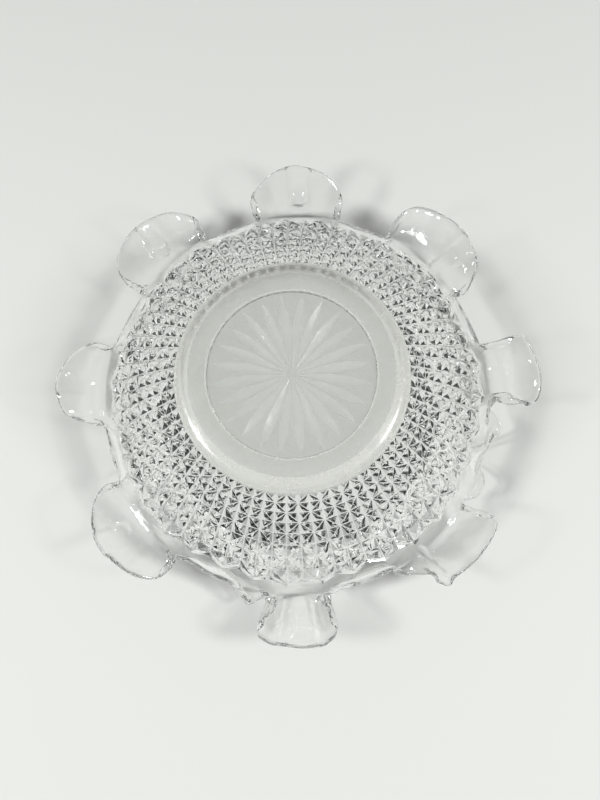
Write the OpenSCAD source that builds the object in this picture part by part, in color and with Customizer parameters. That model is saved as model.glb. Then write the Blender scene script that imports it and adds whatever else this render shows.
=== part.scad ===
// Pressed glass candy dish, lying mouth down on the folds of its ruffled rim.
// Z = 0 is the table, the ground foot is on top. Millimetres.

/* [Overall] */
// Width across the tips of the ruffles
overall_d = 203; // [190:1:220]
// Height from the folds of the rim to the face of the foot
height = 70; // [66:1:76]

/* [Foot] */
// Outer diameter of the foot, where its shoulder meets the wall
foot_d = 92; // [88:1:96]
// Outer diameter of the flat, ground ring
ground_d = 82; // [78:0.5:84]
// Diameter of the round recess inside the ground ring
recess_d = 65.5; // [56:0.5:72]
// How far the star lies below the ground ring
recess_depth = 1.2; // [0.6:0.1:2]
// Height of the foot's rounded shoulder
foot_h = 6; // [5:0.5:8]

/* [Star] */
// Number of rays cut into the base
ray_count = 24; // [12:1:28]
// Depth of a ray at its widest point
ray_depth = 1.4; // [0.6:0.1:2]
// Width of a ray at its widest point
ray_w = 4.3; // [2.5:0.1:4.3]
// Where a ray is widest, as a share of its length
ray_waist = 0.6; // [0.4:0.05:0.7]

/* [Patterned wall] */
// Number of points round the wall, counted along one groove
columns = 35; // [24:1:40]
// Rows of half diamonds from the foot to the plain band
half_rows = 8; // [6:1:12]
// Height of each small pyramid, as a share of its width
point_h = 0.34; // [0.1:0.01:0.36]
// Outer diameter where the pattern ends
edge_d = 152.5; // [148:0.5:156]
// Height above the table where the pattern ends
edge_z = 26; // [23:0.5:29]
// Steepness of the wall next to the foot, as fall over run
neck_slope = 1; // [0.9:0.01:1.1]
// Thickness of the wall between the grooves and the inside
wall_t = 3.4; // [2.8:0.1:4]

/* [Plain band] */
// Height of the smooth band below the pattern
band_h = 5; // [4:0.5:7]

/* [Ruffled rim] */
// Thickness of the glass at the rim
rim_t = 2.8; // [2.2:0.1:3.2]
// Height of the ruffles' tips above the table
tip_z = 28; // [24:0.5:32]
// How strongly the crimp pinches the neck of each ruffle, in degrees
pinch = 3.2; // [2:0.1:4]
// How much wider than an even wave each ruffle spreads, in degrees
spread = 1.5; // [0:0.1:2.5]
// Share of the way from a ruffle's tip to the fold over which the rim comes back down
shoulder = 0.82; // [0.7:0.01:0.9]

/* [Hidden] */
ruffle_count = 8;
$fn = 96;

foot_r = foot_d / 2;
ground_r = ground_d / 2;
recess_r = recess_d / 2;
neck_r = foot_r - 0.5;
neck_z = height - foot_h;
edge_r = edge_d / 2;
// the wall falls faster and faster on its way out, as a parabola
wall_run = edge_r - neck_r;
wall_curve = (neck_z - edge_z - neck_slope * wall_run) / pow(wall_run, 2);
edge_slope = neck_slope + 2 * wall_curve * wall_run;
steps_round = 2 * columns;
inside_rows = 5;

// the plain band goes on at the slope of the wall's edge
band_z = edge_z - band_h;
band_r = edge_r + band_h / edge_slope;
tip_r = overall_d / 2;
fold_r = band_r + 2.4;

// Each ruffle was crimped by hand, so no two are alike: direction in degrees, change of
// reach in mm, changes of pinch and of spread in degrees, change of lift in mm.
ruffles = [[6.5, 0, 0.4, -3.5, 0], [46.5, -0.5, 0, 1.5, 1.5],
           [90, 0, -0.6, 0, 0], [132.3, -1, -0.4, 0.9, 1],
           [176.2, 0, -0.6, 0, 0], [220, -0.5, -0.2, 0.7, -1],
           [270.2, 0, 1.3, -3.5, 0], [314, -2.5, 0, 0.5, -2]];
// How far each fold stands out past the common radius, in mm
fold_out = [1.5, -1, 0, -0.5, 0, -1, 0.5, 2.5];

SIDE_STEPS = 22;   // steps from fold to fold
DEPTH_STEPS = 8;   // steps from the plain band to the rim

// ---- small helpers

function polar(r, a, z) = [r * cos(a), r * sin(a), z];
function unit(v) = v / norm(v);
function mix(a, b, t) = a + (b - a) * t;
function smooth(t) = t * t * (3 - 2 * t);

// ---- the wall

function wall_z(r) = neck_z - neck_slope * (r - neck_r) - wall_curve * pow(r - neck_r, 2);
function slope_at(r) = neck_slope + 2 * wall_curve * (r - neck_r);
// thickness measured level, through a wall of the given slope
function level_t(t, slope) = t * sqrt(1 + slope * slope) / slope;

// rows lie closer together near the foot, so the diamonds stay nearly square
function row_r(i) = neck_r * pow(edge_r / neck_r, i / half_rows);
function groove_point(i, j) = polar(row_r(i), 360 * j / steps_round, wall_z(row_r(i)));
function inside_point(i, j) =
    let (r = row_r(i * half_rows / inside_rows))
    polar(r - level_t(wall_t, slope_at(r)), 360 * j / steps_round, wall_z(r));

// a triangle between three grooves, and the point that is pressed out of its middle
function facet(a, b, c) =
    let (centre = (a + b + c) / 3, width = norm(a - b))
    centre - unit(cross(b - a, c - a)) * point_h * width;

// the two triangles of a cell; the diagonals meet where eight grooves cross
function cell(i, j) =
    (i + j) % 2 == 0
    ? [[[i, j], [i, j + 1], [i + 1, j + 1]], [[i, j], [i + 1, j + 1], [i + 1, j]]]
    : [[[i, j], [i, j + 1], [i + 1, j]], [[i, j + 1], [i + 1, j + 1], [i + 1, j]]];

module diamond_wall() {
    n = steps_round;
    triangles = [for (i = [0:half_rows - 1], j = [0:n - 1]) each cell(i, j)];
    grooves = [for (i = [0:half_rows], j = [0:n - 1]) groove_point(i, j)];
    tips = [for (t = triangles)
        facet(groove_point(t[0][0], t[0][1]), groove_point(t[1][0], t[1][1]),
              groove_point(t[2][0], t[2][1]))];
    inside = [for (i = [0:inside_rows], j = [0:n - 1]) inside_point(i, j)];
    first_tip = len(grooves);
    first_in = first_tip + len(tips);
    function g(p) = p[0] * n + p[1] % n;
    function s(i, j) = first_in + i * n + j % n;
    faces = concat(
        [for (k = [0:len(triangles) - 1], e = [0:2])
            [g(triangles[k][e]), g(triangles[k][(e + 1) % 3]), first_tip + k]],
        [for (i = [0:inside_rows - 1], j = [0:n - 1])
            each [[s(i, j), s(i + 1, j), s(i + 1, j + 1)], [s(i, j), s(i + 1, j + 1), s(i, j + 1)]]],
        [for (j = [0:n - 1])
            each [[g([0, j]), s(0, j), s(0, j + 1)], [g([0, j]), s(0, j + 1), g([0, j + 1])]]],
        [for (j = [0:n - 1])
            each [[g([half_rows, j]), s(inside_rows, j + 1), s(inside_rows, j)],
                  [g([half_rows, j]), g([half_rows, j + 1]), s(inside_rows, j + 1)]]]
    );
    color("gainsboro", 0.6) polyhedron(points = concat(grooves, tips, inside), faces = faces);
}

// ---- the foot and its star

module ray() {
    inner = 1.5;
    outer = recess_r - 1.5;
    waist = mix(inner, outer, ray_waist);
    points = [[inner, 0, 0], [waist, ray_w / 2, 0], [outer, 0, 0], [waist, -ray_w / 2, 0],
              [waist, 0, -ray_depth], [waist, 0, 1]];
    faces = [for (k = [0:3]) each [[(k + 1) % 4, k, 4], [k, (k + 1) % 4, 5]]];
    polyhedron(points = points, faces = faces);
}

module star_base() {
    star_z = height - recess_depth;
    color("whitesmoke", 0.8)
    difference() {
        translate([0, 0, neck_z]) cylinder(r = recess_r, h = star_z - neck_z);
        for (k = [0:ray_count - 1])
            rotate([0, 0, 360 * (k + 0.5) / ray_count]) translate([0, 0, star_z]) ray();
    }
}

module foot_ring() {
    shoulder = [for (a = [0:10:90])
        [mix(ground_r, foot_r, sin(a)), neck_z + foot_h * cos(a)]];
    color("white", 0.9)
    rotate_extrude() polygon(concat([[recess_r, neck_z], [recess_r, height]], shoulder));
}

module plain_band() {
    color("gainsboro", 0.5)
    rotate_extrude() polygon([
        [edge_r, edge_z], [band_r, band_z],
        [band_r - level_t(wall_t, edge_slope), band_z],
        [edge_r - level_t(wall_t, edge_slope), edge_z]]);
}

// ---- the ruffled rim

// ruffle or fold number k, counted round and round
function nth(list, k) = list[(k + 2 * ruffle_count) % ruffle_count];
function direction(k) =
    nth(ruffles, k)[0] + 360 * floor(k / ruffle_count);

// One point of the outer face. s runs round the rim: whole numbers are the middles of the
// ruffles, halves are the folds. v runs from the plain band, 0, to the rim, 1.
function rim_point(s, v) =
    let (k = floor(s + 0.5), side = s < k ? -1 : 1, u = 2 * abs(s - k),
         row = nth(ruffles, k),
         fold = side > 0 ? k : k - 1,
         fold_dir = (direction(fold) + direction(fold + 1)) / 2,
         out = fold_r + nth(fold_out, fold),
         swell = pow(max(0, 1 - pow(u / shoulder, 2)), 1.5),
         bend = (pinch + row[2]) * sin(360 * u) + (spread + row[3]) * sin(180 * u),
         a = mix(direction(k), fold_dir, u) + side * bend * smooth(v),
         start = [band_r, band_z],
         leave = start + 6 * unit([1, -edge_slope]),
         arrive = mix([out + 1.2, 8], [tip_r + row[1] - 8.5, tip_z + row[4] - 5], swell),
         rim = mix([out, 0], [tip_r + row[1], tip_z + row[4]], swell),
         p = pow(1 - v, 3) * start + 3 * v * pow(1 - v, 2) * leave
             + 3 * v * v * (1 - v) * arrive + pow(v, 3) * rim)
    polar(p[0], a, p[1]);

// The same point on the inner face, one thickness further in. Next to the plain band the
// thickness is measured level, so that the two zones meet on one flat ring.
function under_point(s, v) =
    let (e = 0.01,
         along = rim_point(s + e, v) - rim_point(s - e, v),
         down = rim_point(s, min(v + e, 1)) - rim_point(s, max(v - e, 0)),
         here = rim_point(s, v),
         level = unit([here[0], here[1], 0]),
         blend = smooth(min(v / 0.25, 1)))
    here - mix(level * level_t(wall_t, edge_slope),
               unit(cross(down, along)) * mix(wall_t, rim_t, v), blend);

module ruffle(number) {
    first = number - 1.5;
    rows = DEPTH_STEPS;
    cols = SIDE_STEPS;
    half = (rows + 1) * (cols + 1);
    over = [for (i = [0:rows], j = [0:cols]) rim_point(first + j / cols, i / rows)];
    under = [for (i = [0:rows], j = [0:cols]) under_point(first + j / cols, i / rows)];
    function o(i, j) = i * (cols + 1) + j;
    function n(i, j) = half + o(i, j);
    faces = concat(
        [for (i = [0:rows - 1], j = [0:cols - 1])
            each [[o(i, j), o(i, j + 1), o(i + 1, j + 1)], [o(i, j), o(i + 1, j + 1), o(i + 1, j)],
                  [n(i, j), n(i + 1, j + 1), n(i, j + 1)], [n(i, j), n(i + 1, j), n(i + 1, j + 1)]]],
        [for (j = [0:cols - 1])
            each [[o(0, j), n(0, j), n(0, j + 1)], [o(0, j), n(0, j + 1), o(0, j + 1)],
                  [o(rows, j), n(rows, j + 1), n(rows, j)],
                  [o(rows, j), o(rows, j + 1), n(rows, j + 1)]]],
        [for (i = [0:rows - 1])
            each [[o(i, 0), o(i + 1, 0), n(i, 0)], [n(i, 0), o(i + 1, 0), n(i + 1, 0)],
                  [o(i, cols), n(i, cols), o(i + 1, cols)],
                  [n(i, cols), n(i + 1, cols), o(i + 1, cols)]]]
    );
    color(number % 2 == 0 ? "lightsteelblue" : "powderblue", 0.6)
        polyhedron(points = concat(over, under), faces = faces);
}

star_base();
foot_ring();
diamond_wall();
plain_band();
ruffle(1);  // ruffle_1
ruffle(2);  // ruffle_2
ruffle(3);  // ruffle_3
ruffle(4);  // ruffle_4
ruffle(5);  // ruffle_5
ruffle(6);  // ruffle_6
ruffle(7);  // ruffle_7
ruffle(8);  // ruffle_8
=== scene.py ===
import bisect
import math

import bmesh
import bpy
from mathutils import Matrix, Vector


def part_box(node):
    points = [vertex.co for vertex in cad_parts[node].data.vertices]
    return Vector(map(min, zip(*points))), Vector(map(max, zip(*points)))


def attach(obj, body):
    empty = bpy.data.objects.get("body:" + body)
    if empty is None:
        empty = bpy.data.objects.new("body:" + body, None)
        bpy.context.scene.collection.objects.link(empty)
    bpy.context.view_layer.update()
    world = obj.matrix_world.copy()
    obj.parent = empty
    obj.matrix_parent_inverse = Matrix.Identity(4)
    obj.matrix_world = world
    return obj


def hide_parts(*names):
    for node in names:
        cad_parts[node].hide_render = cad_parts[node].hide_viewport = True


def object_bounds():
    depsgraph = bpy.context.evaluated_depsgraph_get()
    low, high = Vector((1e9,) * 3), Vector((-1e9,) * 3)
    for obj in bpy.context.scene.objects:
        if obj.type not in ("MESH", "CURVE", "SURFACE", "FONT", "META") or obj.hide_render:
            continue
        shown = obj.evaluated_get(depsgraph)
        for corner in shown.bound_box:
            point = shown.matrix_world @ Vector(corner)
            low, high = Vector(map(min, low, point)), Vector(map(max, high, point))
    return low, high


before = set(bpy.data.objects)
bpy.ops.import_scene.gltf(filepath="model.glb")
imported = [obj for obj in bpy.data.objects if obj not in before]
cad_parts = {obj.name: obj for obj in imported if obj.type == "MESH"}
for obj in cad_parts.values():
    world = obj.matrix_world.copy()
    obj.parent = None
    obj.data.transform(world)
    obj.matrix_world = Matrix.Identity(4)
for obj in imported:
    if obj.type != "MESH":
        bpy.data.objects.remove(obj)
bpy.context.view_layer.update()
print("the frame is loaded")

# Everything is modelled in millimetres and scaled to metres once, when a mesh is finished.
mm = 0.001


def boxOf(node):
    low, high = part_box(node)
    return low / mm, high / mm


ringHigh = boxOf("foot_ring")[1]
starLow, starHigh = boxOf("star_base")
bandLow, bandHigh = boxOf("plain_band")

dish = {
    "footRadius": ringHigh.x,
    "footTop": ringHigh.z,
    "recessRadius": starHigh.x,
    "starHeight": starHigh.z,
    "neckHeight": starLow.z,
    "bandTop": bandHigh.z,
    "bandBottom": bandLow.z,
    "bandRadius": bandHigh.x,
    "tiny": 0.01,
    "weld": 0.001,
    "sharpAngle": 24,     # degrees between two facets from which their edge shows
}


def mix(a, b, t):
    return a + (b - a) * t


def smooth(t):
    t = min(max(t, 0.0), 1.0)
    return t * t * (3 - 2 * t)


def polar(radius, degrees, height):
    turn = math.radians(degrees)
    return Vector((radius * math.cos(turn), radius * math.sin(turn), height))


def degreesOf(point):
    return math.degrees(math.atan2(point.y, point.x)) % 360


def radiusOf(point):
    return math.hypot(point.x, point.y)


def vertsIn(geom):
    return [g for g in geom if isinstance(g, bmesh.types.BMVert)]


def edgesIn(geom):
    return [g for g in geom if isinstance(g, bmesh.types.BMEdge)]


# Grows one strip of faces from a ring of edges. place says where each new point goes.
def growRing(bm, edges, place):
    grown = bmesh.ops.extrude_edge_only(bm, edges=edges)["geom"]
    fresh = vertsIn(grown)
    for vert in fresh:
        vert.co = place(vert)
    ring = set(fresh)
    return [e for e in edgesIn(grown) if e.verts[0] in ring and e.verts[1] in ring]


# The patterned wall: pyramids in a lattice of grooves.

wall = {
    "columns": 35,        # stars round the wall, along one groove
    "rows": 8,            # rows of half diamonds
    "neckRadius": 45.5,
    "edgeRadius": 76.25,
    "neckSlope": 1.0,     # fall over run beside the foot
    "thickness": 3.4,
    "pyramid": 0.52,      # height of a pyramid over the distance from its tip to its corners
    "groove": 0.30,       # half width of the rounded bottom of a groove
    "notch": 0.42,        # how far the edge of the pattern cuts back between two stars, in rows
    "lipRun": 1.2,
    "lipHeight": 0.9,     # how far the plain glass stands above the grooves
    "sway": 0.9,          # how far the crimping pulled the edge out under the ruffles
    "swayLift": 0.3,      # rise of the edge over that pull
    "edgeCuts": 11,       # points added between two corners of the pattern's edge
    "insideRows": 10,
    "insideStart": 3,     # how far outside the neck the corner of the floor begins
    "floorBend": 4,       # run of the rounded corner along the floor
    "cornerSteps": 5,
}
wall["run"] = wall["edgeRadius"] - wall["neckRadius"]
wall["fall"] = dish["neckHeight"] - dish["bandTop"]
wall["curve"] = (wall["fall"] - wall["neckSlope"] * wall["run"]) / wall["run"] ** 2


def wallHeight(radius):
    out = radius - wall["neckRadius"]
    return dish["neckHeight"] - wall["neckSlope"] * out - wall["curve"] * out * out


def slopeAt(radius):
    return wall["neckSlope"] + 2 * wall["curve"] * (radius - wall["neckRadius"])


def rowRadius(row):
    return wall["neckRadius"] * (wall["edgeRadius"] / wall["neckRadius"]) ** (row / wall["rows"])


# thickness measured level, through a wall of the given slope
def levelThickness(slope):
    return wall["thickness"] * math.sqrt(1 + slope * slope) / slope


edgeSlope = slopeAt(wall["edgeRadius"])

# The ruffled rim.

rim = {
    "thickness": 2.8,
    "leave": 6.0,         # how far the sheet keeps the slope of the wall
    # where the sheet comes from as it reaches the edge, outwards and up from it: in a fold that
    # touches the table, and at a tip as high as the band
    "arriveLow": (1.2, 8),
    "arriveHigh": (-7, -3),
    "arriveMost": 1.3,
    "lipEnd": 0.5,        # depth at which the lip of the pattern has run out
    "levelEnd": 0.25,     # depth up to which the thickness turns from level to square
    "backStart": 0.7,     # depth at which both faces begin to draw back for the rounded edge
    "backRun": 0.3,
    "frameStep": 0.01,
    "rows": 24,
    "roundSteps": 5,
    "edgeSteps": 40,      # points between two points of the outline
    "evenSteps": 20,      # how often the inner face is evened out, for the tight folds
    "evenShare": 0.5,
    "ripple": 0.50,       # unevenness left by the hand, long and short
    "fineRipple": 0.16,
    # beats round a ruffle and from band to edge, for each of two waves, and the lag of the second
    "longWave": (1.375, 0.8, 0.625, -0.5, 1),
    "shortWave": (9.25, 0.6, 5.5, -0.9, 0),
    "markEdge": 1.3,      # how softly the tool's mark begins
    "markFade": 0.4,      # what is left of its depth at the edge
    "markReach": 105,
    # direction of the middle of each ruffle
    "directions": (6.5, 46.5, 90, 132.3, 176.2, 220, 270.2, 314),
    # the edge of each ruffle, from fold to fold: direction in degrees, radius, height
    "ruffles": [
        [(-15, 79.5, 0), (-10.5, 85, 7), (-8.5, 87.5, 10), (-4.5, 86.5, 11), (-0.5, 81, 14.5),
         (0, 90.5, 21), (-1, 99.5, 25), (5, 101.5, 28), (14, 99, 27), (16, 95.5, 25), (17, 87, 18),
         (18.5, 79.5, 10)],
        [(27, 78.5, 0), (35, 81.5, 8), (33, 87, 14), (34, 92, 20), (36.5, 96, 25), (40.5, 98.5, 26),
         (45, 100.5, 29), (51, 100, 30), (57, 98.5, 27), (60.5, 95, 24), (62, 90, 18), (63, 83.5, 10)],
        [(70, 79, 0), (77, 82.5, 10), (77, 91.5, 19), (79, 95.5, 23), (83, 99, 27), (89.5, 101.5, 28),
         (94.5, 100, 28), (99, 96.5, 25), (102.5, 93, 21), (103, 88.5, 16), (103, 84.5, 10)],
        [(110.5, 79.5, 0), (118.5, 84, 10), (118, 89, 17), (118.5, 93, 22), (123, 97, 28), (128, 99.5, 29),
         (134, 100.5, 30), (139, 99.5, 27), (143, 96.5, 24), (145, 92.5, 19), (144.5, 88.5, 14),
         (143, 83, 8)],
        [(152.5, 79, 0), (161.5, 84, 11), (163, 91, 19), (168, 96.5, 25), (174.5, 100, 28),
         (179.5, 99.5, 28),
         (184, 96.5, 25), (186, 90, 18), (187.5, 82.5, 10)],
        [(195, 79, 0), (203, 83, 11), (203.5, 88.5, 18), (206, 92.5, 23), (211.5, 98, 27), (217.5, 101, 27),
         (224, 100, 28), (229.5, 97.5, 26), (233, 93.5, 21), (233, 87.5, 15), (231, 82, 9)],
        [(240.5, 79.5, 0), (249.5, 79.5, 5), (252.5, 84, 8), (256.5, 88, 10), (261.5, 83, 14),
         (262, 90.5, 20),
         (260.5, 97, 25), (264.5, 100.5, 27), (272, 102, 28), (277, 101, 28), (280, 97, 25),
         (280, 90.5, 20),
         (278, 83, 13), (283, 79.5, 8), (287, 81.5, 6)],
        [(292.5, 78.5, 0), (298.5, 80, 7), (300, 85, 13), (304, 88.5, 18), (307, 92, 22), (308, 97.5, 25),
         (311.5, 98, 26), (318.5, 99, 27), (325.5, 98, 26), (328.5, 95, 24), (328.5, 89, 19), (328, 82, 14),
         (332, 86.5, 11), (334.5, 87, 11), (338, 86, 8)],
    ],
    # marks of the crimping tool: direction and radius of the inner end, direction at the edge,
    # half width at the inner end and at the edge, depth
    "marks": [
        (6, 82, 5, 4.5, 6.5, 0.5),
        (44.5, 82.5, 40.5, 2.0, 6.0, 2.2),
        (89.5, 90, 89.5, 3.4, 5.5, 2.0),
        (131.3, 88.5, 130.5, 3.0, 4.2, 2.2),
        (175.8, 90, 175.5, 3.2, 6.0, 1.6),
        (217.2, 91, 217.5, 3.4, 5.5, 2.0),
        (266, 83.5, 264, 1.2, 2.0, 0.9),
        (275, 84, 276.5, 1.2, 2.0, 0.9),
        (309.5, 81.5, 308.5, 1.1, 1.6, 3.0),
    ],
}
ruffleCount = len(rim["ruffles"])


def direction(k):
    return rim["directions"][k % ruffleCount] + 360 * (k // ruffleCount)


def foldDirection(k):
    return (direction(k) + direction(k + 1)) / 2


# The place round the rim of a direction: whole numbers are ruffles, halves are folds.
def turnOf(degrees):
    for k in range(ruffleCount + 1):
        low, high = foldDirection(k - 1), foldDirection(k)
        if low <= degrees < high:
            middle = direction(k)
            if degrees < middle:
                return k - (middle - degrees) / (middle - low) / 2
            return k + (degrees - middle) / (high - middle) / 2
    return turnOf(degrees - 360) + ruffleCount


# One smooth closed line through the points of the outline, as a list of lines from fold to fold.
def traceEdge():
    knots = [polar(radius, degrees, height) for row in rim["ruffles"] for degrees, radius, height in row]
    count = len(knots)
    traced = []
    first = 0
    for row in rim["ruffles"]:
        line = []
        for n in range(first, first + len(row)):
            a, b, c, d = (knots[(n + i) % count] for i in (-1, 0, 1, 2))
            for step in range(rim["edgeSteps"]):
                t = step / rim["edgeSteps"]
                spot = (2 * b + t * (c - a) + t * t * (2 * a - 5 * b + 4 * c - d)
                        + t ** 3 * (3 * b - a - 3 * c + d)) / 2
                spot.z = max(spot.z, 0)
                line.append(spot)
        first += len(row)
        traced.append(line)
    for k, line in enumerate(traced):
        line.append(traced[(k + 1) % ruffleCount][0])
    return traced


# the share of the way along a line of points, for each of them
def sharesOf(line):
    lengths = [0.0]
    for a, b in zip(line, line[1:]):
        lengths.append(lengths[-1] + (b - a).length)
    return [length / lengths[-1] for length in lengths]


# Each ruffle's line is cut at its tip, so that the tip stands over the middle of the ruffle.
def halveEdge():
    halves = []
    for k, line in enumerate(traceEdge()):
        outward = polar(1, direction(k), 0)
        tip = max(range(len(line)), key=lambda n: line[n].dot(outward))
        halves.append([(half, sharesOf(half)) for half in (line[:tip + 1], line[tip:])])
    return halves


edgeHalves = halveEdge()


# The edge of the rim at a place round it.
def edgeSpot(turn):
    k = math.floor(turn + 0.5)
    share = 2 * (turn - k + 0.5)
    half, shares = edgeHalves[k % ruffleCount][int(share >= 1)]
    share -= int(share >= 1)
    n = min(bisect.bisect_right(shares, share), len(shares) - 1)
    return half[n - 1].lerp(half[n], (share - shares[n - 1]) / (shares[n] - shares[n - 1]))


# The middle of the outer face, before marks and ripples. depth runs from the band, 0, to the rim, 1.
def sheetPoint(turn, depth):
    k = math.floor(turn + 0.5)
    fold = foldDirection(k) if turn >= k else foldDirection(k - 1)
    bandDegrees = mix(direction(k), fold, 2 * abs(turn - k))
    edge = edgeSpot(turn)
    bend = (degreesOf(edge) - bandDegrees + 180) % 360 - 180
    high = edge.z / dish["bandBottom"]
    start = Vector((dish["bandRadius"], dish["bandBottom"]))
    leave = start + rim["leave"] * Vector((1, -edgeSlope)).normalized()
    end = Vector((radiusOf(edge), edge.z))
    arrive = end + Vector(rim["arriveLow"]).lerp(Vector(rim["arriveHigh"]), min(high, rim["arriveMost"]))
    left = 1 - depth
    spot = (left ** 3 * start + 3 * depth * left ** 2 * leave
            + 3 * depth ** 2 * left * arrive + depth ** 3 * end)
    return polar(spot.x, bandDegrees + bend * smooth(depth), spot.y)


# the dents of the tool, as it was pressed in from outside
def dentAt(point):
    dent = 0
    for degrees, radius, atEdge, wide, wideAtEdge, deep in rim["marks"]:
        start = polar(radius, degrees, 0)
        way = polar(rim["markReach"], atEdge, 0) - start
        spot = Vector((point.x, point.y, 0)) - start
        if spot.length > way.length + wideAtEdge:
            continue
        t = min(max(spot.dot(way) / way.length_squared, 0), 1)
        gap = (spot - way * t).length - mix(wide, wideAtEdge, t)
        dent += deep * mix(1, rim["markFade"], t) * (1 - smooth(gap / rim["markEdge"] + 0.5))
    return dent


def waveAt(turn, depth, beats):
    aroundA, downA, aroundB, downB, lag = beats
    first = math.sin(math.tau * (turn * aroundA + depth * downA))
    return first * math.sin(math.tau * (turn * aroundB + depth * downB) + lag)


# how far the hand and the tool pushed the glass out of that sheet
def pushed(point, turn, depth):
    wave = rim["ripple"] * waveAt(turn, depth, rim["longWave"])
    fine = rim["fineRipple"] * waveAt(turn, depth, rim["shortWave"])
    return (wave + fine) * smooth(depth * 2) - dentAt(point)


def sheetFrame(turn, depth):
    step = rim["frameStep"]
    here = sheetPoint(turn, depth)
    along = (sheetPoint(turn + step, depth) - sheetPoint(turn - step, depth)).normalized()
    down = (sheetPoint(turn, min(depth + step, 1)) - sheetPoint(turn, max(depth - step, 0))).normalized()
    return here, down, down.cross(along).normalized()


# room for the rounded edge, so that it ends where the outline runs
def setBack(depth):
    return rim["thickness"] / 2 * smooth((depth - rim["backStart"]) / rim["backRun"])


def outerPoint(turn, depth):
    here, down, normal = sheetFrame(turn, depth)
    lip = wall["lipHeight"] * (1 - smooth(depth / rim["lipEnd"]))
    return here + normal * (pushed(here, turn, depth) + lip) - down * setBack(depth)


def innerPoint(turn, depth):
    here, down, normal = sheetFrame(turn, depth)
    level = Vector((here.x, here.y, 0)).normalized()
    thin = normal * mix(wall["thickness"], rim["thickness"], depth)
    inward = (level * levelThickness(edgeSlope)).lerp(thin, smooth(depth / rim["levelEnd"]))
    return here - inward + normal * pushed(here, turn, depth) - down * setBack(depth)


# the fire-polished edge: half a circle from the outer face to the inner one
def edgePoint(turn, share):
    outer, inner = outerPoint(turn, 1), innerPoint(turn, 1)
    down = sheetFrame(turn, 1)[1]
    half = (outer - inner) / 2
    angle = math.pi * share
    return (outer + inner) / 2 + half * math.cos(angle) + down * half.length * math.sin(angle)


# The foot and its star.

foot = {
    "groundRadius": 41,
    "chamferRun": 0.9,    # the worn edge between the ground face and the shoulder
    "chamferFall": 0.4,
    "shoulderSteps": 8,
    "shoulderRise": 0.4,  # how far above the top of the wall the shoulder begins
    "recessRound": 0.8,
    "rays": 24,
    "rayDepth": 1.4,
    "rayWidth": 4.2,
    "rayInner": 1.5,
    "rayMargin": 1.5,
    "waist": 0.6,         # share of its length at which a ray is widest
    "rayFullness": 0.85,  # under 1 makes the ray's outline fuller than a sine
    "rayWeld": 0.02,
    "raySteps": 8,
}


# One ray as a sheet: a grid whose middle row is the bottom of the cut.
def cutRay(bm, turnDegrees):
    inner, outer = foot["rayInner"], dish["recessRadius"] - foot["rayMargin"]
    grid = bmesh.ops.create_grid(bm, x_segments=foot["raySteps"], y_segments=2, size=1)["verts"]
    for vert in grid:
        along = (vert.co.x + 1) / 2
        shape = math.sin(math.pi * along ** (math.log(0.5) / math.log(foot["waist"]))) ** foot["rayFullness"]
        side = round(vert.co.y)
        depth = 0 if side else foot["rayDepth"] * shape
        across = side * foot["rayWidth"] / 2 * shape
        vert.co = Vector((mix(inner, outer, along), across, dish["starHeight"] - depth))
    bmesh.ops.rotate(bm, verts=grid, matrix=Matrix.Rotation(math.radians(turnDegrees), 3, "Z"))
    bmesh.ops.remove_doubles(bm, verts=grid, dist=foot["rayWeld"])


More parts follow.
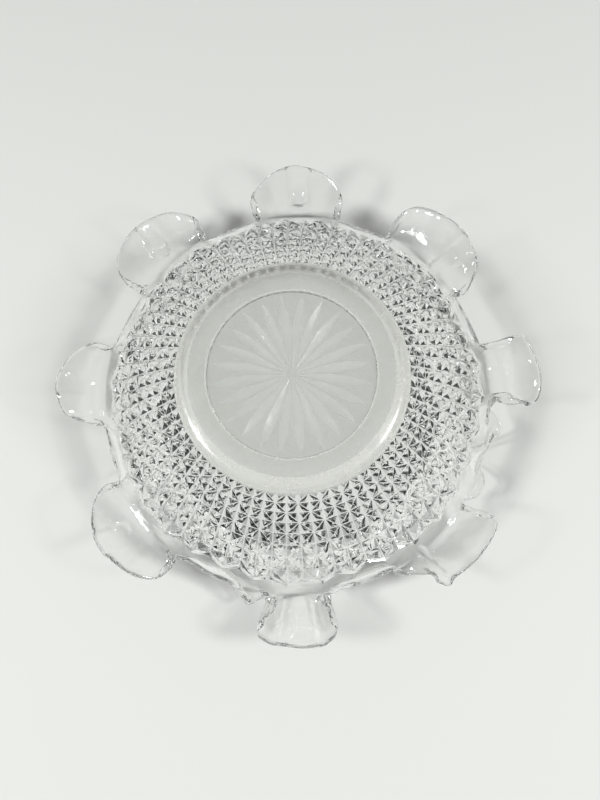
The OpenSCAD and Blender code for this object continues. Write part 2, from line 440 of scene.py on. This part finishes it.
def makeDish():
    bm = bmesh.new()
    groove = bm.edges.layers.int.new("groove")
    turnLayer = bm.verts.layers.float.new("turn")
    around = 2 * wall["columns"]
    step = 360 / around

    def column(vert):
        return round(degreesOf(vert.co) / step) % around

    # the grooves: rings of points, crossed by a diagonal in every cell
    ring = bmesh.ops.create_circle(bm, segments=around, radius=wall["neckRadius"])["verts"]
    bmesh.ops.rotate(bm, verts=ring, matrix=Matrix.Rotation(math.radians(step / 2), 3, "Z"))
    bmesh.ops.translate(bm, verts=ring, vec=(0, 0, dish["neckHeight"]))
    edges = bm.edges[:]
    stars = [v for v in ring if column(v) % 2 == 0]

    def wallPoint(vert, row):
        j = column(vert)
        notch = wall["notch"] if row == wall["rows"] and (row + j) % 2 else 0
        radius = rowRadius(row - notch)
        sway = wall["sway"] * math.cos(math.tau * turnOf(j * step)) * (row / wall["rows"]) ** 2
        return polar(radius + sway, j * step, wallHeight(radius) + wall["swayLift"] * sway)

    for row in range(1, wall["rows"] + 1):
        edges = growRing(bm, edges, lambda v: wallPoint(v, row))
        stars += [v for v in {v for e in edges for v in e.verts} if (row + column(v)) % 2 == 0]
    bmesh.ops.connect_verts(bm, verts=stars)
    bmesh.ops.recalc_face_normals(bm, faces=bm.faces[:])
    bm.normal_update()
    if sum(f.normal.z for f in bm.faces) < 0:
        bmesh.ops.reverse_faces(bm, faces=bm.faces[:])
    for edge in bm.edges:
        edge[groove] = 0 if edge.is_boundary else 1
    bmesh.ops.poke(bm, faces=bm.faces[:], offset=wall["pyramid"], center_mode="MEAN",
                   use_relative_offset=True)
    print("the wall has", len(bm.faces), "facets")

    # the foot, from the top of the wall inwards
    def topEdges():
        return [e for e in bm.edges if e.is_boundary and radiusOf(e.verts[0].co) < wall["neckRadius"] + 1]

    bmesh.ops.subdivide_edges(bm, edges=topEdges(), cuts=3)
    edges = topEdges()
    for vert in {v for e in edges for v in e.verts}:
        vert.co = polar(wall["neckRadius"], degreesOf(vert.co), dish["neckHeight"])
    profile = []
    ledge = dish["footTop"] - foot["chamferFall"]
    for k in range(foot["shoulderSteps"] + 1):
        a = math.pi / 2 * (1 - k / foot["shoulderSteps"])
        profile.append((mix(foot["groundRadius"], dish["footRadius"], math.sin(a)),
                        mix(dish["neckHeight"] + foot["shoulderRise"], ledge, math.cos(a))))
    profile.append((foot["groundRadius"] - foot["chamferRun"], dish["footTop"]))
    bend = foot["recessRound"]
    profile += [(dish["recessRadius"] + bend, dish["footTop"]),
                (dish["recessRadius"] + bend * 0.3, dish["footTop"] - bend * 0.3),
                (dish["recessRadius"], dish["footTop"] - bend),
                (dish["recessRadius"] - 0.2, dish["starHeight"])]
    for radius, height in profile:
        edges = growRing(bm, edges, lambda v: polar(radius, degreesOf(v.co), height))

    # the star
    for k in range(foot["rays"]):
        cutRay(bm, 360 * (k + 0.5) / foot["rays"])
    star = [e for e in bm.edges
            if e.is_boundary and abs(e.verts[0].co.z - dish["starHeight"]) < dish["tiny"]]
    bmesh.ops.triangle_fill(bm, use_beauty=True, edges=star, normal=(0, 0, 1))
    print("the star is cut")

    # the lip of the pattern and the band
    lastRow = wallHeight(rowRadius(wall["rows"] - 1))
    lower = [e for e in bm.edges if e.is_boundary and e.verts[0].co.z < lastRow]

    def lipPoint(vert):
        slope = slopeAt(radiusOf(vert.co))
        size = math.sqrt(1 + slope * slope)
        out = (wall["lipRun"] + wall["lipHeight"] * slope) / size
        fall = (wall["lipRun"] * slope - wall["lipHeight"]) / size
        return polar(radiusOf(vert.co) + out, degreesOf(vert.co), vert.co.z - fall)

    lower = growRing(bm, lower, lipPoint)
    bmesh.ops.subdivide_edges(bm, edges=lower, cuts=wall["edgeCuts"])
    lower = [e for e in bm.edges if e.is_boundary]
    for vert in {v for e in lower for v in e.verts}:
        vert[turnLayer] = turnOf(degreesOf(vert.co))
    for row in range(rim["rows"] + 1):
        depth = row / rim["rows"]
        lower = growRing(bm, lower, lambda v: outerPoint(v[turnLayer], depth))
    for k in range(1, rim["roundSteps"] + 1):
        lower = growRing(bm, lower, lambda v: edgePoint(v[turnLayer], k / (rim["roundSteps"] + 1)))
    inside = []
    for row in range(rim["rows"], -1, -1):
        depth = row / rim["rows"]
        lower = growRing(bm, lower, lambda v: innerPoint(v[turnLayer], depth))
        if 0 < row < rim["rows"]:
            inside += dict.fromkeys(v for e in lower for v in e.verts)
    for n in range(rim["evenSteps"]):
        bmesh.ops.smooth_vert(bm, verts=inside, factor=rim["evenShare"],
                              use_axis_x=True, use_axis_y=True, use_axis_z=True)
    print("the rim is ruffled")

    # the smooth inside and the floor of the bowl
    for k in range(wall["insideRows"] + 1):
        radius = mix(wall["edgeRadius"], wall["neckRadius"] + wall["insideStart"], k / wall["insideRows"])
        level = radius - levelThickness(slopeAt(radius))
        lower = growRing(bm, lower, lambda v: polar(level, degreesOf(v.co), wallHeight(radius)))
    start = Vector((level, wallHeight(radius)))
    rise = dish["neckHeight"] - start.y
    corner = Vector((start.x - rise / slopeAt(radius), dish["neckHeight"]))
    end = Vector((corner.x - wall["floorBend"], dish["neckHeight"]))
    for k in range(1, wall["cornerSteps"] + 1):
        t = k / wall["cornerSteps"]
        spot = (1 - t) ** 2 * start + 2 * t * (1 - t) * corner + t * t * end
        lower = growRing(bm, lower, lambda v: polar(spot.x, degreesOf(v.co), spot.y))
    bmesh.ops.contextual_create(bm, geom=lower)
    print("the bowl is closed")

    bmesh.ops.remove_doubles(bm, verts=bm.verts[:], dist=dish["weld"])
    bmesh.ops.recalc_face_normals(bm, faces=bm.faces[:])
    grooves = [e for e in bm.edges if e[groove]]
    bmesh.ops.bevel(bm, geom=grooves, offset=wall["groove"], offset_type="OFFSET", segments=1,
                    profile=0.5, affect="EDGES", clamp_overlap=True, material=-1)
    print("open edges left:", sum(1 for e in bm.edges if not e.is_manifold))
    bmesh.ops.triangulate(bm, faces=[f for f in bm.faces if len(f.verts) > 4])
    bmesh.ops.scale(bm, verts=bm.verts[:], vec=(mm, mm, mm))
    mesh = bpy.data.meshes.new("dish_glass")
    bm.to_mesh(mesh)
    bm.free()
    mesh.shade_smooth()
    mesh.set_sharp_from_angle(angle=math.radians(dish["sharpAngle"]))
    piece = bpy.data.objects.new("dish_glass", mesh)
    bpy.context.scene.collection.objects.link(piece)
    return piece


# Finishes of the glass. Haze is the share of light that the ground surface scatters. Shadow is the
# light let through face on, edge the light let through where the glass stands steep to the light.
# Each tint and dull colour is the glass's own colour with random cloudy patches. On the foot both are also
# darkened far below clear glass: painted shade for the shaded floor under the dish seen through it.
glass = {
    "clear": {"tintAndShade": (0.995, 1.0, 0.996), "dullAndShade": (0.98, 0.988, 0.98), "rough": (0.0, 0.03), "haze": 0,
              "scale": 30, "bump": 0.03, "bumpScale": 45, "shadow": (0.975, 0.975, 0.975), "edge": 0.0},
    "pressed": {"tintAndShade": (0.99, 0.998, 0.992), "dullAndShade": (0.97, 0.98, 0.97), "rough": (0.0, 0.02), "haze": 0,
                "scale": 30, "bump": 0.02, "bumpScale": 90, "shadow": (0.99, 0.99, 0.99), "edge": 0.93},
    # painted shade: the ground ring's tint is darkened to about half, for the shaded floor under the dish
    # seen through it; its roughness, haze and bump are the real ground finish
    "ground": {"tintAndShade": (0.50, 0.505, 0.48), "dullAndShade": (0.44, 0.445, 0.415), "rough": (0.42, 0.60),
               "haze": 0.4, "scale": 120, "bump": 0.15, "bumpScale": 900,
               "shadow": (0.85, 0.86, 0.84), "edge": 0.6},
    # painted shade: the star's ground is darkened for the shaded floor seen through it, and kept darker than
    # the rays so that they show as lighter petals
    "star": {"tintAndShade": (0.46, 0.465, 0.44), "dullAndShade": (0.42, 0.425, 0.40), "rough": (0.30, 0.45), "haze": 0.4,
             "scale": 90, "bump": 0.10, "bumpScale": 600, "shadow": (0.92, 0.93, 0.91), "edge": 0.6},
    # painted shade and light: the rays' tint is darker than clear glass for the shaded floor below, yet
    # lighter than the star's ground to paint their lighter look; their smoother finish is real
    "ray": {"tintAndShade": (0.60, 0.61, 0.585), "dullAndShade": (0.53, 0.54, 0.515), "rough": (0.08, 0.26), "haze": 0.2,
            "scale": 90, "bump": 0.05, "bumpScale": 600, "shadow": (0.92, 0.93, 0.91), "edge": 0.6},
    # painted shade with real wear: the shoulder's tint is darkened for the shaded floor seen through it; its
    # roughness, haze and the brownish dull colour are real wear and dirt
    "wornAndShaded": {"tintAndShade": (0.68, 0.685, 0.655), "dullAndShade": (0.60, 0.60, 0.555), "rough": (0.15, 0.38), "haze": 0.32,
             "scale": 160, "bump": 0.03, "bumpScale": 500, "shadow": (0.92, 0.93, 0.91), "edge": 0.6},
}


# what all finishes share
allGlass = {
    "bend": 1.5,            # index of refraction
    "cloud": (0.35, 0.75),  # the part of the noise over which clean glass turns to its cloudy colour
    "cloudDetail": 4,
    "grainDetail": 2,
    "bumpHeight": 0.002,
    "steep": (0.32, 0.80),  # from face on to edge on, where the shadow turns dark
}


def makeGlass(name, look):
    material = bpy.data.materials.new(name)
    material.use_nodes = True
    nodes, links = material.node_tree.nodes, material.node_tree.links
    shader = nodes["Principled BSDF"]
    output = nodes["Material Output"]
    shader.inputs["Transmission Weight"].default_value = 1 - look["haze"]
    shader.inputs["IOR"].default_value = allGlass["bend"]
    place = nodes.new("ShaderNodeTexCoord")
    cloud = nodes.new("ShaderNodeTexNoise")
    cloud.inputs["Scale"].default_value = look["scale"]
    cloud.inputs["Detail"].default_value = allGlass["cloudDetail"]
    links.new(place.outputs["Object"], cloud.inputs["Vector"])
    colour = nodes.new("ShaderNodeMix")
    colour.data_type = "RGBA"
    # tint and dull colours mixed by the cloud noise; on the foot both hold painted shade
    colour.inputs[6].default_value = (*look["tintAndShade"], 1)
    colour.inputs[7].default_value = (*look["dullAndShade"], 1)
    links.new(cloud.outputs["Fac"], colour.inputs[0])
    links.new(colour.outputs[2], shader.inputs["Base Color"])
    rough = nodes.new("ShaderNodeMapRange")
    rough.inputs["From Min"].default_value = allGlass["cloud"][0]
    rough.inputs["From Max"].default_value = allGlass["cloud"][1]
    rough.inputs["To Min"].default_value = look["rough"][0]
    rough.inputs["To Max"].default_value = look["rough"][1]
    links.new(cloud.outputs["Fac"], rough.inputs["Value"])
    links.new(rough.outputs["Result"], shader.inputs["Roughness"])
    grain = nodes.new("ShaderNodeTexNoise")
    grain.inputs["Scale"].default_value = look["bumpScale"]
    grain.inputs["Detail"].default_value = allGlass["grainDetail"]
    links.new(place.outputs["Object"], grain.inputs["Vector"])
    bump = nodes.new("ShaderNodeBump")
    bump.inputs["Strength"].default_value = look["bump"]
    bump.inputs["Distance"].default_value = allGlass["bumpHeight"]
    links.new(grain.outputs["Fac"], bump.inputs["Height"])
    links.new(bump.outputs["Normal"], shader.inputs["Normal"])
    # lamps shine through the glass and leave a light shadow
    path = nodes.new("ShaderNodeLightPath")
    clear = nodes.new("ShaderNodeBsdfTransparent")
    facing = nodes.new("ShaderNodeLayerWeight")
    facing.inputs["Blend"].default_value = 0.5
    shadow = nodes.new("ShaderNodeMix")
    shadow.data_type = "RGBA"
    shadow.inputs[6].default_value = (*look["shadow"], 1)
    shadow.inputs[7].default_value = (look["edge"],) * 3 + (1,)
    steep = nodes.new("ShaderNodeMapRange")
    steep.inputs["From Min"].default_value = allGlass["steep"][0]
    steep.inputs["From Max"].default_value = allGlass["steep"][1]
    links.new(facing.outputs["Facing"], steep.inputs["Value"])
    links.new(steep.outputs["Result"], shadow.inputs[0])
    links.new(shadow.outputs[2], clear.inputs["Color"])
    soft = nodes.new("ShaderNodeMixShader")
    links.new(path.outputs["Is Diffuse Ray"], soft.inputs[0])
    links.new(shader.outputs[0], soft.inputs[1])
    links.new(clear.outputs[0], soft.inputs[2])
    shade = nodes.new("ShaderNodeMixShader")
    links.new(path.outputs["Is Shadow Ray"], shade.inputs[0])
    links.new(soft.outputs[0], shade.inputs[1])
    links.new(clear.outputs[0], shade.inputs[2])
    links.new(shade.outputs[0], output.inputs["Surface"])
    return material


# limits between the finishes: lengths in millimetres, and heights of a face's normal
limits = {
    "footMargin": 0.5,
    "facingUp": 0.03,
    "aboveNeck": 0.05,
    "insideRecess": 0.1,
    "levelStar": 0.99,
    "levelGround": 0.98,
    "aboveBand": 1,
}


# The finish of a face follows from where it is and how level it lies; on the foot the finish also carries
# painted shade.
def finishOf(face):
    spot = face.center / mm
    radius = radiusOf(spot)
    level = face.normal.z
    onFoot = (radius < dish["footRadius"] + limits["footMargin"] and level > limits["facingUp"]
              and spot.z > dish["neckHeight"] + limits["aboveNeck"])
    if onFoot and radius < dish["recessRadius"] - limits["insideRecess"]:
        return "ray" if level < limits["levelStar"] else "star"
    if onFoot and level > limits["levelGround"] and radius < foot["groundRadius"]:
        return "ground"
    if onFoot:
        return "wornAndShaded"
    return "pressed" if spot.z > dish["bandTop"] + limits["aboveBand"] else "clear"


piece = makeDish()
for name, look in glass.items():
    piece.data.materials.append(makeGlass(name + "_glass", look))
finishes = list(glass)
for face in piece.data.polygons:
    face.material_index = finishes.index(finishOf(face))
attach(piece, "root")
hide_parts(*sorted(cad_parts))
print("the dish is done")

# The studio.

studio = {
    "floorSize": 6.0,
    "floorColour": (0.60, 0.61, 0.59),
    "paperRough": 0.9,
    "paperShine": 0.1,
    "world": (0.18, 0.18, 0.177),
    "cardRadius": 0.25,     # a ring of black card, seen only by the glass
    "cardHeight": 0.13,
    "cardColour": (0.01, 0.01, 0.01),
    "lampDistance": 1.1,
    "lampSide": 0.69,       # direction of the lamps, as shares of that distance
    "lampFront": 0.2,
    "lampUp": 0.69,
    "lampSize": 0.20,
    "lampPower": 9.4,
    "fillPlace": (0, 0.2, 2.2),
    "fillSize": 2.0,
    "fillPower": 3,
    "cameraDistance": 0.520,
    "lens": 56.0,
    "sensor": 36,
    "nearest": 0.01,
    "aim": (0.0017, -0.0010, 0.025),
    "tiltDown": 11.8,
    "tiltSide": 2.0,
    "bounces": 24,          # light passes many faces on its way through cut glass
    "mirrorBounces": 12,
}


def makePaper(name, colour):
    material = bpy.data.materials.new(name)
    material.use_nodes = True
    shader = material.node_tree.nodes["Principled BSDF"]
    shader.inputs["Base Color"].default_value = (*colour, 1)
    shader.inputs["Roughness"].default_value = studio["paperRough"]
    shader.inputs["Specular IOR Level"].default_value = studio["paperShine"]
    return material


def makeFloor(height):
    mesh = bpy.data.meshes.new("floor")
    bm = bmesh.new()
    bmesh.ops.create_grid(bm, x_segments=1, y_segments=1, size=studio["floorSize"] / 2)
    bmesh.ops.translate(bm, verts=bm.verts[:], vec=(0, 0, height))
    bm.to_mesh(mesh)
    bm.free()
    floor = bpy.data.objects.new("floor", mesh)
    bpy.context.scene.collection.objects.link(floor)
    mesh.materials.append(makePaper("floor_paper", studio["floorColour"]))


# The card stands for a dark room: glass shows its shape by what it mirrors and bends.
def makeCard(height):
    mesh = bpy.data.meshes.new("card")
    bm = bmesh.new()
    bmesh.ops.create_cone(bm, cap_ends=False, segments=64, radius1=studio["cardRadius"],
                          radius2=studio["cardRadius"], depth=studio["cardHeight"])
    bmesh.ops.translate(bm, verts=bm.verts[:], vec=(0, 0, height + studio["cardHeight"] / 2))
    bm.to_mesh(mesh)
    bm.free()
    card = bpy.data.objects.new("card", mesh)
    card.visible_camera = False
    card.visible_diffuse = False
    card.visible_shadow = False
    bpy.context.scene.collection.objects.link(card)
    mesh.materials.append(makePaper("card_paper", studio["cardColour"]))


def makeLamp(name, position, size, power):
    light = bpy.data.lights.new(name, "AREA")
    light.shape = "DISK"
    light.size = size
    light.energy = power
    lamp = bpy.data.objects.new(name, light)
    lamp.location = position
    lamp.rotation_mode = "QUATERNION"
    lamp.rotation_quaternion = Vector(position).to_track_quat("Z", "Y")
    bpy.context.scene.collection.objects.link(lamp)


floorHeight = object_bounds()[0].z
makeFloor(floorHeight)
makeCard(floorHeight)
reach = studio["lampDistance"]
for name, side in (("lamp_left", -studio["lampSide"]), ("lamp_right", studio["lampSide"])):
    place = (side * reach, -studio["lampFront"] * reach, studio["lampUp"] * reach)
    makeLamp(name, place, studio["lampSize"], studio["lampPower"])
makeLamp("fill", studio["fillPlace"], studio["fillSize"], studio["fillPower"])

world = bpy.data.worlds.new("studio")
world.use_nodes = True
world.node_tree.nodes["Background"].inputs["Color"].default_value = (*studio["world"], 1)
bpy.context.scene.world = world

cameraData = bpy.data.cameras.new("camera")
cameraData.sensor_fit = "AUTO"
cameraData.sensor_width = studio["sensor"]
cameraData.lens = studio["lens"]
cameraData.clip_start = studio["nearest"]
camera = bpy.data.objects.new("camera", cameraData)
leanSide = math.tan(math.radians(studio["tiltSide"]))
leanDown = math.tan(math.radians(studio["tiltDown"]))
back = Vector((leanSide, -leanDown, 1)).normalized()
right = Vector((0, 1, 0)).cross(back).normalized()
up = back.cross(right)
camera.location = Vector(studio["aim"]) + back * studio["cameraDistance"]
camera.rotation_mode = "QUATERNION"
camera.rotation_quaternion = Matrix((right, up, back)).transposed().to_quaternion()
bpy.context.scene.collection.objects.link(camera)
bpy.context.scene.camera = camera

cycles = bpy.context.scene.cycles
cycles.max_bounces = studio["bounces"]
cycles.transmission_bounces = studio["bounces"]
cycles.glossy_bounces = studio["mirrorBounces"]
cycles.transparent_max_bounces = studio["bounces"]
bpy.context.scene.view_settings.view_transform = "Standard"
print("the studio is lit")
